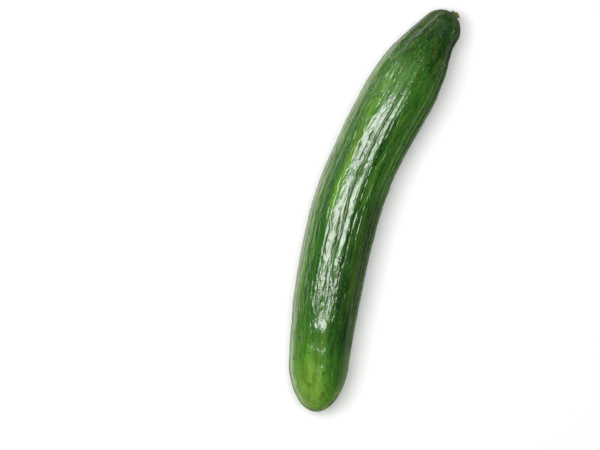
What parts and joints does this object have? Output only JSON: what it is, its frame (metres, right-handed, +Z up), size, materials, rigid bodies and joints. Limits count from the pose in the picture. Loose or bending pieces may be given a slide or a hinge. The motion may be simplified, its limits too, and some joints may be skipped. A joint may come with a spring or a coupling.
{
  "type": "cucumber",
  "caption": "Long green salad cucumber lying on its side, gently bowed, with shallow ribs, a rounded blossom end and a short cut stem stub.",
  "frame": {"origin": "bottom centre of the bounding box, on the surface that the cucumber rests on", "axes": "+X along the length, from the blossom end towards the stem end; +Y towards the bowed-out side; +Z up, with the cucumber lying on its side"},
  "size_m": [0.3034, 0.0638, 0.0513],
  "materials": {
    "skin": "glossy waxy cucumber skin, mid to dark green, streaked lengthwise and yellower towards the blossom end",
    "stem": "matt olive green fibrous stalk with a paler yellow-green cut face"
  },
  "bodies": {
    "root": {"fruit": "skin", "stem": "stem"}
  },
  "joints": []
}
